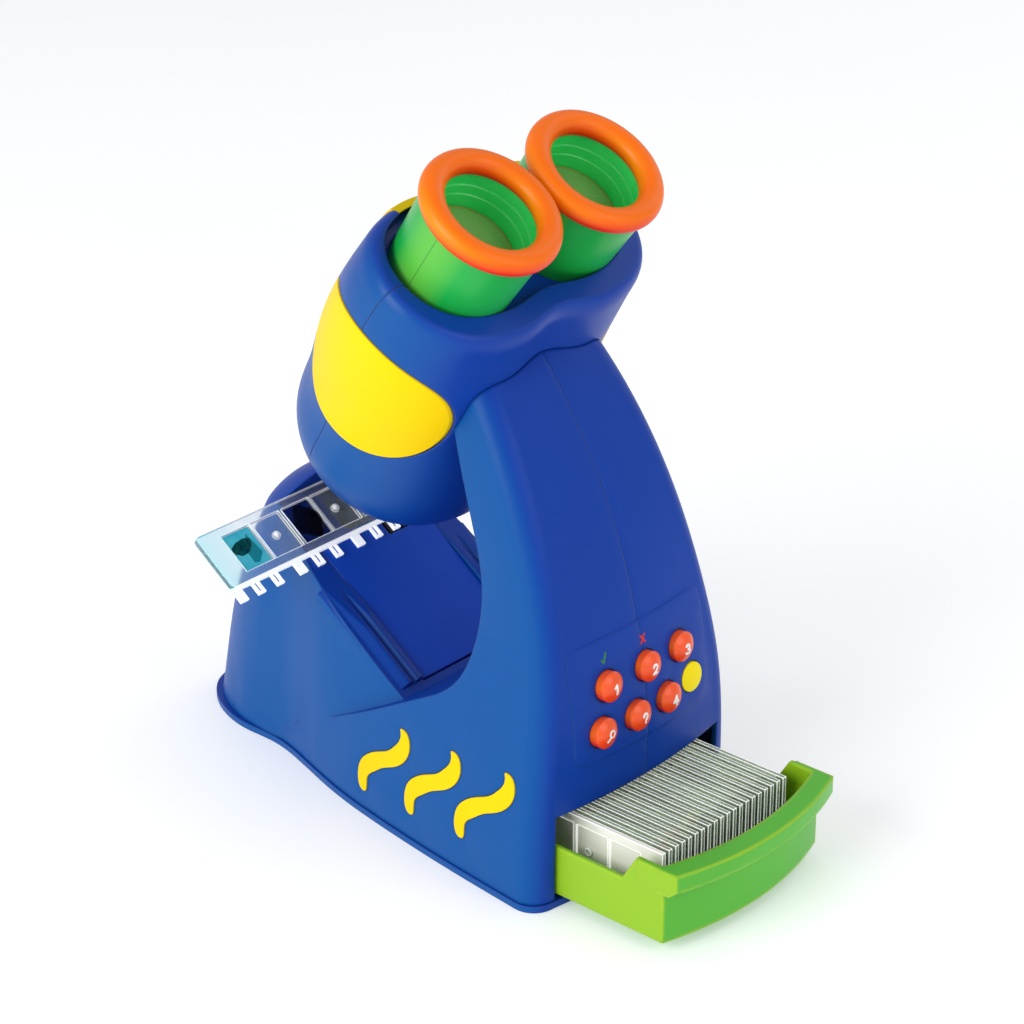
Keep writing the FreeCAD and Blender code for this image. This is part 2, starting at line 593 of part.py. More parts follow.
# ---- drawer --------------------------------------------------------------------------------------
def bowed_slab(half, y_corner, bow, y_back, z0, z1):
    """Plan area between a bowed front and a straight back, extruded upwards."""
    arc = Part.Arc(V(-half, y_corner, z0), V(0, y_corner - bow, z0), V(half, y_corner, z0))
    points = [(half, y_corner, z0), (half, y_back, z0), (-half, y_back, z0), (-half, y_corner, z0)]
    lines = [Part.LineSegment(V(*a), V(*b)).toShape() for a, b in zip(points, points[1:])]
    return prism(Part.Wire([arc.toShape()] + lines), (0, 0, z1 - z0))


def drawer_plan(inset, z0, z1):
    """Drawer outline: bowed front, straight sides, narrower behind to follow the base."""
    half, back = DRAWER_W - inset, DRAWER_REAR - inset
    front = DRAWER_FRONT + inset
    arc = Part.Arc(V(-half, front, z0), V(0, front - DRAWER_BOW, z0), V(half, front, z0))
    narrow = DRAWER_REAR_W - inset
    points = [(half, front), (half, -112.0), (narrow, back), (-narrow, back), (-half, -112.0),
              (-half, front)]
    points = [(x, y, z0) for x, y in points]
    lines = [Part.LineSegment(V(*a), V(*b)).toShape() for a, b in zip(points, points[1:])]
    return prism(Part.Wire([arc.toShape()] + lines), (0, 0, z1 - z0))


def build_drawer(nodes):
    tray = drawer_plan(0, DRAWER_Z, DRAWER_TOP).cut(
        drawer_plan(DRAWER_WALL, DRAWER_Z + DRAWER_WALL, DRAWER_TOP + 5))
    notch = [(-150.0, DRAWER_TOP + 1), (-164.4, DRAWER_TOP + 1), (-164.4, DRAWER_TOP),
             (-157.0, DRAWER_SIDE_TOP), (-20.0, DRAWER_SIDE_TOP), (-20.0, DRAWER_TOP + 1)]
    tray = tray.cut(prism(polygon([(-70, y, z) for y, z in notch]), (140, 0, 0)))
    rim_low = DRAWER_TOP - 11.2
    outer = bowed_slab(DRAWER_W + 0.8, DRAWER_FRONT - RIM_OUT + 0.4, DRAWER_BOW + 0.8,
                       -166.0, rim_low, DRAWER_TOP)
    inner = bowed_slab(DRAWER_W - DRAWER_WALL, DRAWER_FRONT + DRAWER_WALL, DRAWER_BOW, -150.0,
                       rim_low - 1, DRAWER_TOP + 1)
    rim = outer.cut(inner)
    lower = [e for e in rim.Edges if abs(e.BoundBox.ZMax - rim_low) < 0.01
             and e.BoundBox.YMax < DRAWER_FRONT + 1 and e.Length > 40]
    rim = rim.makeChamfer(3.6, 3.6, lower) if lower else rim
    nodes["drawer"] = biggest(tray.fuse(rim).removeSplitter())
    floor = DRAWER_Z + DRAWER_WALL + 0.1
    slides = []
    for i in range(STORED_COUNT):
        x = (i - (STORED_COUNT - 1) / 2.0) * STORED_PITCH
        slides.append(stored_slide(x, floor))
    nodes["stored_slides"] = group(slides)
    rails = [box(x - 1.5, x + 1.5, -118, 2, BASE_T + 0.05, DRAWER_Z - 0.1) for x in (-30, 30)]
    stop = box(-6, 6, 8.5, 11.0, BASE_T + 0.05, 16)
    nodes["drawer_rails"] = group(rails + [stop])


def slide_wells():
    """(start, end) of each window along a slide: a picture, then a clear blank, three times."""
    wells = []
    for k in range(3):
        start = PICTURE_START + k * PICTURE_PITCH
        wells.append((start, start + PICTURE_W))
        wells.append((start + PICTURE_W + 1.2, min(start + 34.0, SLIDE_LEN - 4.0)))
    return wells


def stored_slide(x, z):
    """A slide standing on its code comb, three thinned windows along it."""
    y0 = DRAWER_REAR - DRAWER_WALL - 0.6 - SLIDE_LEN
    low = z + STORED_H - STORED_FRAME_H
    plate = box(x - STORED_T / 2, x + STORED_T / 2, y0, y0 + SLIDE_LEN, low, z + STORED_H)
    tooth = SLIDE_LEN / STORED_TEETH
    teeth = [box(x - 0.5, x + 0.5, y0 + k * tooth, y0 + (k + 1) * tooth, z, low)
             for k in range(0, STORED_TEETH, 2)]
    window, film = [], []
    for start, end in slide_wells():
        window.append(box(x - 2, x + 2, y0 + start, y0 + end, low + 4.0, z + STORED_H - 4.0))
        film.append(box(x - 0.4, x + 0.4, y0 + start, y0 + end, low + 4.0, z + STORED_H - 4.0))
    solid = plate.multiFuse(teeth).removeSplitter()
    return solid.cut(compound(window)).multiFuse(film).removeSplitter()


# ---- stage and slide ----------------------------------------------------------------------------
def build_stage(nodes):
    low, high = RAIL_V[0] - 1.0, SLIDE_V[1] + FIT - 0.1
    plate = box(-RAIL_IN + 0.15, RAIL_IN - 0.15, low + 0.8, high, STAGE_W - 2.5, STAGE_W)
    plate = plate.cut(rounded_box(-13.2, 13.2, -20.0, 3.0, STAGE_W - 5, STAGE_W + 5, 2, V(0, 0, 1)))
    slot = box(READER_X, READER_X + 21.0, COMB_V - 0.6, SLIDE_V[0] + 0.4, STAGE_W - 5, STAGE_W + 5)
    nodes["stage_plate"] = to_head(plate.cut(slot))
    window = rounded_box(-13.0, 13.0, -19.8, 2.8, STAGE_W - 2.4, STAGE_W - 0.15, 2, V(0, 0, 1))
    nodes["stage_window"] = to_head(window)
    board = box(-12, 12, -18, 2, STAGE_W - 20.0, STAGE_W - 18.4)
    nodes["lamp_board"] = to_head(board)
    bulb = fuse([cylinder(2.5, STAGE_W - 18.3, STAGE_W - 12.5, 0, BALL_V),
                 Part.makeSphere(2.5, V(0, BALL_V, STAGE_W - 12.5))])
    nodes["lamp_led"] = to_head(bulb)
    reader = box(READER_X - 1.0, READER_X + 22.0, COMB_V - 1.0, SLIDE_V[0] + 1.0, STAGE_W - 6.0, STAGE_W - 4.4)
    fingers = []
    for k in range(5):
        x = READER_X + 2.5 + 4.0 * k
        fingers.append(box(x - 0.7, x + 0.7, COMB_V, SLIDE_V[0], STAGE_W - 4.4, STAGE_W - 0.6))
    nodes["code_reader"] = to_head(fuse([reader] + fingers))


def code_comb(x0, w0):
    """Teeth of a slide's code comb: broad solid ones, with two hollow ones between them."""
    teeth = []
    for k in range(4):
        start = x0 + min(k * PICTURE_PITCH * 0.985, SLIDE_LEN - 5.0)
        teeth.append(box(start, start + 4.4, COMB_V, SLIDE_V[0] + 0.5, w0, w0 + 1.4))
    for k in range(3):
        for centre in (12.4, 23.4):
            x = x0 + k * PICTURE_PITCH + centre
            tooth = box(x - 2.0, x + 2.0, COMB_V, SLIDE_V[0] + 0.5, w0, w0 + 1.4)
            teeth.append(tooth.cut(box(x - 0.9, x + 0.9, COMB_V + 1.2, SLIDE_V[0] - 0.6, w0 - 1, w0 + 2)))
    return teeth


def build_slide(nodes):
    x0, x1 = SLIDE_X
    v0, v1 = SLIDE_V
    w0 = STAGE_W + 0.12
    w1 = w0 + SLIDE_T
    frame = rounded_box(x0, x1, v0, v1, w0, w1, 2.0, V(0, 0, 1))
    films, pegs, wells = [], [], []
    for k, (start, end) in enumerate(slide_wells()):
        wells.append(box(x0 + start, x0 + end, v0 + FRAME, v1 - FRAME, w0 + 1.3, w1 + 1))
        if k % 2 == 0:
            films.append(box(x0 + start + 0.25, x0 + end - 0.25, v0 + FRAME + 0.25,
                             v1 - FRAME - 0.25, w0 + 1.35, w0 + 1.75))
        else:
            peg_x = x0 + min(start + 8.4, end - 4.4)
            pegs.append(cylinder(1.7, w0 + 1.0, w1 - 0.3, peg_x, (v0 + v1) / 2))
    frame = frame.cut(compound(wells))
    rib = box(x0 + 1.0, x1 - 1.0, v0 - 1.2, v0 + 0.5, w0, w0 + 1.4)
    nodes["stage_slide"] = to_head(fuse([frame, rib] + pegs + code_comb(x0, w0)))
    nodes["slide_pictures"] = to_head(group(films))


# ---- base and electronics ---------------------------------------------------------------------
PADS = [(-42.0, -108.0), (42.0, -108.0), (-15.0, 98.0), (15.0, 98.0)]
DOOR = (-31.0, 31.0, 11.0, 71.5)
DOOR_SCREW_Y = 67.6


def build_base(nodes):
    plate = prism(plan_wire(0, TOWER_LEVELS[0][1], BASE_LEDGE), (0, 0, BASE_T - 0.1))
    x0, x1, y0, y1 = DOOR
    plate = plate.cut(rounded_box(x0, x1, y0, y1, -1, 5, 3, V(0, 0, 1)))
    screws = []
    for x, y in BOSSES:
        plate = plate.cut(cylinder(1.75, -1, 5, x, y)).cut(cylinder(3.3, -1, 1.5, x, y))
        screws.append(moved(screw(1.3, 12.0, 3.0, 1.3), x, y, 0.15))
    pads = []
    for x, y in PADS:
        plate = plate.cut(cylinder(7.2, -1, 1.4, x, y))
        pads.append(cylinder(7.0, 0.0, 1.35, x, y))
    nodes["base_plate"] = plate
    nodes["anti_slip_pads"] = group(pads)
    nodes["base_screws"] = group(screws)
    door = rounded_box(x0 + 0.3, x1 - 0.3, y0 + 0.3, y1 - 0.3, 0, 2.4, 2.8, V(0, 0, 1))
    door = door.cut(cylinder(1.75, -1, 5, 0, DOOR_SCREW_Y))
    door = door.cut(cylinder(3.2, -1, 1.2, 0, DOOR_SCREW_Y))
    for k in range(5):
        door = door.cut(box(-10, 10, y0 + 6 + 3 * k, y0 + 7.4 + 3 * k, -1, 0.5))
    nodes["battery_door"] = door
    nodes["door_screw"] = moved(screw(1.3, 9.0, 2.9, 1.1), 0, DOOR_SCREW_Y, 0.05)
    build_battery_box(nodes)


def build_battery_box(nodes):
    """Open-bottomed cell box over the door, three cells lying across, and their contacts."""
    x0, x1 = -CELL_LEN / 2 - 4.0, CELL_LEN / 2 + 2.6
    half = CELL_PITCH * 1.5 + 0.6
    y0, y1 = CELL_Y - half - 1.0, CELL_Y + half - 1.0
    top = BASE_T + 2 * CELL_R + 1.4
    tray = box(x0 - 1.5, x1 + 1.5, y0 - 1.5, y1 + 1.5, BASE_T + 0.05, top + 1.5)
    tray = tray.cut(box(x0, x1, y0, y1, 0, top))
    tray = tray.fuse(box(-5, 5, y1 + 1, DOOR_SCREW_Y + 4, BASE_T + 0.05, 13.0)).removeSplitter()
    tray = tray.cut(cylinder(1.35, 0, 11.0, 0, DOOR_SCREW_Y))
    corner = box(-40, -29.4, 58, 80, -1, 40)
    tray = tray.cut(corner).cut(mirror_x(corner))
    nodes["battery_box"] = tray
    cells, contacts = [], []
    z = BASE_T + 0.5 + CELL_R
    for k in range(3):
        y = (y0 + y1) / 2 + (k - 1) * CELL_PITCH
        turn = 1 if k % 2 == 0 else -1
        body = Part.makeCylinder(CELL_R, CELL_LEN - 1.2, V(-CELL_LEN / 2, y, z), V(1, 0, 0))
        tip = Part.makeCylinder(2.7, 1.2, V(CELL_LEN / 2 - 1.2, y, z), V(1, 0, 0))
        cell = body.fuse(tip).removeSplitter()
        if turn < 0:
            cell = mirror_x(cell)
        cells.append(cell)
        spring_x = x0 + 0.45 if turn > 0 else x1 - 0.45
        reach = abs(spring_x) - CELL_LEN / 2 - 0.05
        contacts.append(contact(y, z, spring_x, turn, max(reach, 0.8)))
    nodes["battery_cells"] = group(cells)
    nodes["battery_contacts"] = group(contacts)


def contact(y, z, x, turn, reach):
    """Contact plate with a stepped cone that stands for its coil spring."""
    plate = box(min(x, x - turn * 0.4), max(x, x - turn * 0.4), y - 5, y + 5, z - 5, z + 5)
    cone = Part.makeCone(4.4, 2.6, reach, V(x, y, z), V(turn, 0, 0))
    return plate.fuse(cone)


def build_electronics(nodes):
    board = box(-34, 34, -14, 14, 0, 1.6)
    for x, y in ((-30, -10), (30, -10), (-30, 10), (30, 10)):
        board = board.cut(cylinder(1.6, -1, 3, x, y))
    place = FreeCAD.Placement(V(0, -98.0, 128.0), FreeCAD.Rotation(V(1, 0, 0), 74))
    nodes["main_board"] = board.transformed(place.toMatrix())
    chips = [box(-9, 9, -5, 5, 1.65, 4.2), box(-28, -20, -5, 5, 1.65, 4.0),
             box(18, 27, -4, 4, 1.65, 5.0)]
    nodes["board_chips"] = group([c.transformed(place.toMatrix()) for c in chips])
    magnet = cylinder(9.0, 0, 6.0)
    basket = Part.makeCone(9.2, 20.0, 6.0, V(0, 0, 6.0))
    rim = cylinder(20.0, 12.0, 13.6)
    cup = cylinder(16.0, 12.6, 14.0)
    speaker = fuse([magnet, basket, rim]).cut(cup)
    face = FreeCAD.Placement(V(0, -90.5, 56.0), FreeCAD.Rotation(V(1, 0, 0), 0))
    nodes["speaker"] = speaker.transformed(face.toMatrix())


def main():
    os.makedirs("parts", exist_ok=True)
    nodes = {}
    left, right = build_body()
    nodes["body_left_shell"] = biggest(left)
    nodes["body_right_shell"] = biggest(right)
    inlay_skin = tower_solid(0.5).cut(tower_solid(-1.2))
    inlays = group([w.common(inlay_skin) for w in wave_prisms(0.0)])
    nodes["wave_inlays_left"] = inlays
    nodes["wave_inlays_right"] = group([mirror_x(inlays)])
    build_head(nodes)
    build_case_screws(nodes)
    build_eyepieces(nodes)
    build_objective(nodes)
    build_keys(nodes)
    build_drawer(nodes)
    build_stage(nodes)
    build_slide(nodes)
    build_base(nodes)
    build_electronics(nodes)
    for name, shape in nodes.items():
        save(name, shape)


main()
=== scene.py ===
import bpy
import bmesh
import math
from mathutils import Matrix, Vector
from mathutils.bvhtree import BVHTree


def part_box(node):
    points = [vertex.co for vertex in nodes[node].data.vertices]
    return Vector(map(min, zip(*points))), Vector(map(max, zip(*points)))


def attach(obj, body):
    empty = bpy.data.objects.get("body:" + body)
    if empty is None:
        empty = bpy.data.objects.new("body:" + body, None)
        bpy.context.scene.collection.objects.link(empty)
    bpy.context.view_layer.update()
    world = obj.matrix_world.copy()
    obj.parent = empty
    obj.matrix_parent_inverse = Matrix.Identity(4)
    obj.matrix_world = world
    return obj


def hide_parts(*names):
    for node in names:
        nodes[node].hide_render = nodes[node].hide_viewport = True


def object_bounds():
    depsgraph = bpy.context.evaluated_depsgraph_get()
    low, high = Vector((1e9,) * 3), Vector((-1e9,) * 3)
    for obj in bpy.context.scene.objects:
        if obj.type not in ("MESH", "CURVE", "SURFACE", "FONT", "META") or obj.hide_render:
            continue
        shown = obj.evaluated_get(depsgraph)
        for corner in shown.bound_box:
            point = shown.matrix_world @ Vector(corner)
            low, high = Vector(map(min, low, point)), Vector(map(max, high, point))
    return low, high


# Looks of the toy microscope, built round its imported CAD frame.  Metres, +Z up, -Y faces the
# child.  The head frame has x across, v up the stage slope and w up the optical axis.

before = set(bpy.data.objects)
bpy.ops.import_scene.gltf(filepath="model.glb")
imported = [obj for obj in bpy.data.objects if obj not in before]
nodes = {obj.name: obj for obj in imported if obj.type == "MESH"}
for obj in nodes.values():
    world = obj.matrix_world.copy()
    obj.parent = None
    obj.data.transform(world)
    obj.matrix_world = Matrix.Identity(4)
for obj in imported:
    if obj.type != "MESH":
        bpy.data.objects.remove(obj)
cad_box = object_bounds()
MM = 0.001

HEAD_TILT = math.radians(35.46)
HEAD_ORIGIN = Vector((0.0, -0.07005, 0.28485))
HEAD_V = Vector((0.0, math.cos(HEAD_TILT), math.sin(HEAD_TILT)))
HEAD_W = Vector((0.0, -math.sin(HEAD_TILT), math.cos(HEAD_TILT)))
KEY_TILT = math.radians(6.0)
KEY_OUT = Vector((0.0, -math.cos(KEY_TILT), math.sin(KEY_TILT)))
KEY_UP = Vector((0.0, math.sin(KEY_TILT), math.cos(KEY_TILT)))
ACROSS = Vector((1.0, 0.0, 0.0))
# y behind which the tower shades the stored slides
DRAWER_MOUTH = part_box("stored_slides")[0].y + 0.060
# a ray that ends this far from the depth of the rest fell into a seam
SEAM = 0.0007
# where the slide's code comb starts, along the stage slope from the row's origin
COMB_START = HEAD_ORIGIN.dot(HEAD_V) - 0.0218

# linear colours; a side colour is painted light: a lit copy of its plastic's colour for faces that
# look left or right
BLUE = (0.0035, 0.044, 0.325)
BLUE_SIDE_PAINTED_LIGHT = (0.0020, 0.080, 0.305)
YELLOW = (0.90, 0.60, 0.0010)
ORANGE = (0.90, 0.155, 0.001)
ORANGE_SIDE_PAINTED_LIGHT = (0.93, 0.25, 0.002)
# painted shade: a darker red for faces of the orange parts that look down
RED_UNDER_PAINTED_SHADE = (0.78, 0.020, 0.002)
KEY_ORANGE = (0.86, 0.088, 0.010)
KEY_ORANGE_SIDE_PAINTED_LIGHT = (0.90, 0.135, 0.006)
# painted light: a brighter yellow than the panels' for the power key, which looks forward
KEY_YELLOW_PAINTED_LIGHT = (0.96, 0.76, 0.0010)
GREEN = (0.010, 0.385, 0.055)
GREEN_SIDE_PAINTED_LIGHT = (0.10, 0.48, 0.045)
LIME = (0.090, 0.44, 0.030)
LIME_SIDE_PAINTED_LIGHT = (0.27, 0.50, 0.012)
# painted highlight along the drawer's edges
LIME_RIM_PAINTED_HIGHLIGHT = (0.40, 0.66, 0.020)
WHITE = (0.88, 0.88, 0.86)
# painted light on the first stored slide's face, which reads white
FIRST_FACE_PAINTED_LIGHT = (0.93, 0.92, 0.82)

GRIP_FADE = (-0.082, -0.060)           # x over which the stage slide's cyan grip fades out


# ---- materials ---------------------------------------------------------------------------------
class Graph:
    """A new material's node tree, with short ways to add and join nodes."""

    def __init__(self, name):
        self.material = bpy.data.materials.new(name)
        self.material.use_nodes = True
        self.tree = self.material.node_tree
        self.shader = self.tree.nodes["Principled BSDF"]
        self.coords = self.add("ShaderNodeTexCoord").outputs["Object"]

    def add(self, kind, **settings):
        node = self.tree.nodes.new(kind)
        for key, value in settings.items():
            setattr(node, key, value)
        return node

    def join(self, source, target):
        self.tree.links.new(source, target)

    def noise(self, scale, detail=2.0, rough=0.5, stretch=None, lift=0.0):
        node = self.add("ShaderNodeTexNoise")
        node.inputs["Scale"].default_value = scale
        node.inputs["Detail"].default_value = detail
        node.inputs["Roughness"].default_value = rough
        place = self.add("ShaderNodeMapping")
        place.inputs["Scale"].default_value = stretch or (1, 1, 1)
        place.inputs["Location"].default_value = (lift, lift * 0.7, lift * 1.3)
        self.join(self.coords, place.inputs["Vector"])
        self.join(place.outputs["Vector"], node.inputs["Vector"])
        return node.outputs["Fac"]

    def axis(self, name):
        """One coordinate of the point, in metres: the CAD nodes' own space is the row frame."""
        node = self.add("ShaderNodeSeparateXYZ")
        self.join(self.coords, node.inputs["Vector"])
        return node.outputs[name]

    def along(self, direction):
        """How far the point lies along a direction of the row frame, from its origin."""
        node = self.add("ShaderNodeVectorMath", operation="DOT_PRODUCT")
        self.join(self.coords, node.inputs[0])
        node.inputs[1].default_value = direction
        return node.outputs["Value"]

    def math(self, operation, *values):
        node = self.add("ShaderNodeMath", operation=operation)
        for value, socket in zip(values, node.inputs):
            self.join(value, socket)
        return node.outputs["Value"]

    def facing(self, name):
        """One component of the face's own normal."""
        face = self.add("ShaderNodeNewGeometry")
        split = self.add("ShaderNodeSeparateXYZ")
        self.join(face.outputs["Normal"], split.inputs["Vector"])
        return split.outputs[name]

    def sideways(self, start):
        """0 on faces that look forward, back or up, 1 on faces that look left or right: where the
        side colours paint light.
        """
        return self.span(self.math("ABSOLUTE", self.facing("X")), 0.0, 1.0, start, 1.0)

    def downward(self):
        """0 on faces that look up, a little on level ones, 1 on faces that look down: where the
        under colour paints shade.
        """
        return self.span(self.facing("Z"), 1.0, 0.0, -0.65, 0.25)

    def span(self, value, low, high, start=0.3, end=0.7):
        node = self.add("ShaderNodeMapRange")
        node.inputs["From Min"].default_value = start
        node.inputs["From Max"].default_value = end
        node.inputs["To Min"].default_value = low
        node.inputs["To Max"].default_value = high
        self.join(value, node.inputs["Value"])
        return node.outputs["Result"]

    def blend(self, factor, one, other):
        """Mix of two colours, each a colour or a socket, by a socket."""
        node = self.add("ShaderNodeMix", data_type="RGBA")
        self.join(factor, node.inputs["Factor"])
        for colour, socket in ((one, node.inputs["A"]), (other, node.inputs["B"])):
            if isinstance(colour, tuple):
                socket.default_value = (*colour[:3], 1.0)
            else:
                self.join(colour, socket)
        return node.outputs["Result"]

    def edge_mask(self, radius, gain):
        """1 along sharp edges, 0 on open faces: how far a rounded normal leans off the true one."""
        bevel = self.add("ShaderNodeBevel", samples=6)
        bevel.inputs["Radius"].default_value = radius
        true = self.add("ShaderNodeNewGeometry")
        dot = self.add("ShaderNodeVectorMath", operation="DOT_PRODUCT")
        self.join(bevel.outputs["Normal"], dot.inputs[0])
        self.join(true.outputs["Normal"], dot.inputs[1])
        return self.span(dot.outputs["Value"], gain, 0.0, 0.80, 0.995)

    def bump(self, height, distance, strength, under=None):
        node = self.add("ShaderNodeBump")
        node.inputs["Distance"].default_value = distance
        node.inputs["Strength"].default_value = strength
        self.join(height, node.inputs["Height"])
        if under is not None:
            self.join(under, node.inputs["Normal"])
        return node.outputs["Normal"]

    def rounded(self, radius):
        bevel = self.add("ShaderNodeBevel", samples=6)
        bevel.inputs["Radius"].default_value = radius
        return bevel.outputs["Normal"]


def shade(colour, factor):
    return tuple(min(1.0, c * factor) for c in colour)


def moulded(name, colour, rough, grain, edge, edge_wear_and_highlight_gain, subsurface=0.0, gloss=0.19, side=None,
            side_light_start=0.45, rim=None, under=None):
    """Injection-moulded plastic: spark-eroded grain, faint flow marks, paler edges.
    rough is the range of roughness, grain the strength of the grain, edge the radius of the
    softened edges and the next number how strongly those are paled: wear from rubbing in the
    plastic's own colour, a painted highlight where rim is given.  side is the painted light on
    faces that look sideways, rim the colour of the edges' painted highlight and under the painted
    shade on faces that look down."""
    g = Graph(name)
    cloud = g.span(g.noise(9.0, 3.0), 0.0, 1.0)
    flow = g.span(g.noise(38.0, 4.0, 0.6, (1, 1, 0.35), 3.0), 0.0, 1.0)
    body = g.blend(cloud, shade(colour, 0.94), shade(colour, 1.06))
    # painted light: faces that look left or right take the side colour
    if side:
        body = g.blend(g.sideways(side_light_start), body, side)
    # painted shade: faces that look down take the under colour
    if under:
        body = g.blend(g.downward(), body, under)
    # paler edges: wear from rubbing in the plastic's own colour; a given rim colour makes them a
    # painted highlight instead
    edge_wear_and_highlight = rim or tuple(c + (1.0 - c) * 0.14 for c in colour)
    mask = g.edge_mask(edge * 0.9, edge_wear_and_highlight_gain)
    patches = g.span(g.noise(60.0, 4.0, 0.65, None, 8.0), 0.25, 1.0)
    g.join(g.blend(g.math("MULTIPLY", mask, patches), body, edge_wear_and_highlight), g.shader.inputs["Base Color"])
    g.join(g.span(flow, rough[0], rough[1], 0.0, 1.0), g.shader.inputs["Roughness"])
    smooth = g.rounded(edge)
    sag = g.bump(g.noise(26.0, 2.0, 0.4, None, 5.0), 0.0006, 0.10, smooth)
    fine = g.bump(g.noise(2400.0, 2.0), 0.00006, grain * 4, sag)
    g.join(fine, g.shader.inputs["Normal"])
    if subsurface:
        g.shader.inputs["Subsurface Weight"].default_value = subsurface
        g.shader.inputs["Subsurface Radius"].default_value = (0.004, 0.004, 0.001)
        g.shader.inputs["Subsurface Scale"].default_value = 0.6
    g.shader.inputs["IOR"].default_value = 1.5
    g.shader.inputs["Specular IOR Level"].default_value = gloss
    return g.material


def clear(name, tint, edge_tint, edge, edge_gain, clarity, rough=0.06, end_tint=None, comb=False,
          painted_glow=0.0, painted_face_light_x=None, streaky=0.92):
    """Clear styrene.  Its cut edges take the edge colour; on the slides this is a painted
    highlight, and the edges give off light as painted glowing edges.  end_tint colours the face and
    the edges of the grip end, comb gives the code comb the same painted highlight, and the x of the
    first stored slide marks the face that is whitened with painted light, fading to painted shade
    where the tower shades it."""
    g = Graph(name)
    mask = g.edge_mask(edge, edge_gain)
    streak = g.span(g.noise(70.0, 3.0, 0.55, (1, 0.3, 1)), streaky, 1.0)
    tone = g.add("ShaderNodeMix", data_type="RGBA", blend_type="MULTIPLY")
    tone.inputs["Factor"].default_value = 1.0
    tone.inputs["A"].default_value = (*tint, 1.0)
    g.join(streak, tone.inputs["B"])
    face, rim = tone.outputs["Result"], edge_tint
    if end_tint:
        inner, outer = end_tint
        along = g.span(g.axis("X"), 1.0, 0.0, *GRIP_FADE)
        face, rim = g.blend(along, face, inner), g.blend(along, rim, outer)
    # painted highlight: the code comb takes the edge colour and gives off light like the edges
    if comb:
        teeth = g.span(g.along(HEAD_V), 0.9, 0.0, COMB_START - 0.0001, COMB_START + 0.0001)
        rim = g.blend(teeth, rim, edge_tint)
        mask = g.math("MAXIMUM", mask, teeth)
    edge_and_face_opacity = mask
    # painted light: the first stored slide's face is whitened, and behind the drawer's mouth, where
    # the tower shades it, the whitening fades as painted shade
    if painted_face_light_x is not None:
        first = g.span(g.axis("X"), 1.0, 0.0, painted_face_light_x + 0.0018, painted_face_light_x + 0.0022)
        lit = g.span(g.axis("Y"), 0.25, 1.0, DRAWER_MOUTH, DRAWER_MOUTH - 0.030)
        painted_face_light = g.math("MULTIPLY", first, lit)
        face = g.blend(painted_face_light, face, FIRST_FACE_PAINTED_LIGHT)
        edge_and_face_opacity = g.math("MAXIMUM", mask, painted_face_light)
    g.join(g.blend(mask, face, rim), g.shader.inputs["Base Color"])
    g.join(g.span(g.noise(220.0, 3.0), rough, rough + 0.08), g.shader.inputs["Roughness"])
    g.join(g.span(edge_and_face_opacity, clarity, 0.12, 0.0, 1.0), g.shader.inputs["Transmission Weight"])
    g.join(g.bump(g.noise(300.0, 2.0), 0.00005, 0.2), g.shader.inputs["Normal"])
    # painted glowing edges: the edges give off light, though the slide is no lamp
    if painted_glow:
        g.join(g.span(mask, 0.0, painted_glow, 0.0, 1.0), g.shader.inputs["Emission Strength"])
    g.shader.inputs["IOR"].default_value = 1.49
    return g.material


def metal(name, colour, rough=0.32):
    g = Graph(name)
    brushed = g.noise(900.0, 3.0, 0.6, (1, 1, 0.15))
    g.join(g.blend(g.span(brushed, 0, 1), shade(colour, 0.82), colour),
           g.shader.inputs["Base Color"])
    g.join(g.span(brushed, rough, rough + 0.14), g.shader.inputs["Roughness"])
    g.join(g.bump(brushed, 0.00003, 0.3), g.shader.inputs["Normal"])
    g.shader.inputs["Metallic"].default_value = 1.0
    return g.material


def rubber(name, colour):
    g = Graph(name)
    speck = g.noise(1500.0, 3.0, 0.7)
    g.join(g.blend(g.span(speck, 0, 1), shade(colour, 0.8), shade(colour, 1.2)),
           g.shader.inputs["Base Color"])
    g.join(g.span(g.noise(40.0), 0.62, 0.8), g.shader.inputs["Roughness"])
    g.join(g.bump(speck, 0.0001, 0.4), g.shader.inputs["Normal"])
    return g.material


def board(name, colour):
    """Circuit board: solder mask over faint copper tracks."""
    g = Graph(name)
    track = g.add("ShaderNodeTexBrick")
    g.join(g.coords, track.inputs["Vector"])
    track.inputs["Scale"].default_value = 160.0
    track.inputs["Color1"].default_value = (*colour, 1.0)
    track.inputs["Color2"].default_value = (*shade(colour, 1.3), 1.0)
    track.inputs["Mortar"].default_value = (*shade(colour, 2.0), 1.0)
    g.join(track.outputs["Color"], g.shader.inputs["Base Color"])
    g.join(g.span(g.noise(200.0), 0.28, 0.4), g.shader.inputs["Roughness"])
    return g.material


def printed(name, colour, fade=0.85):
    """Pad-printed ink, a little uneven."""
    g = Graph(name)
    patch = g.span(g.noise(700.0, 3.0, 0.6), 0.0, 1.0)
    g.join(g.blend(patch, shade(colour, fade), colour), g.shader.inputs["Base Color"])
    g.join(g.span(g.noise(300.0), 0.42, 0.58), g.shader.inputs["Roughness"])
    return g.material


# the side and under colours given here are painted light and painted shade, and the drawer's rim
# colour a painted highlight along its edges
blue = moulded("body_blue", BLUE, (0.34, 0.44), 0.05, 0.0016, 0.10, gloss=0.13, side=BLUE_SIDE_PAINTED_LIGHT)
head_blue = moulded("head_blue", BLUE, (0.31, 0.42), 0.04, 0.0016, 0.30, side=BLUE_SIDE_PAINTED_LIGHT)
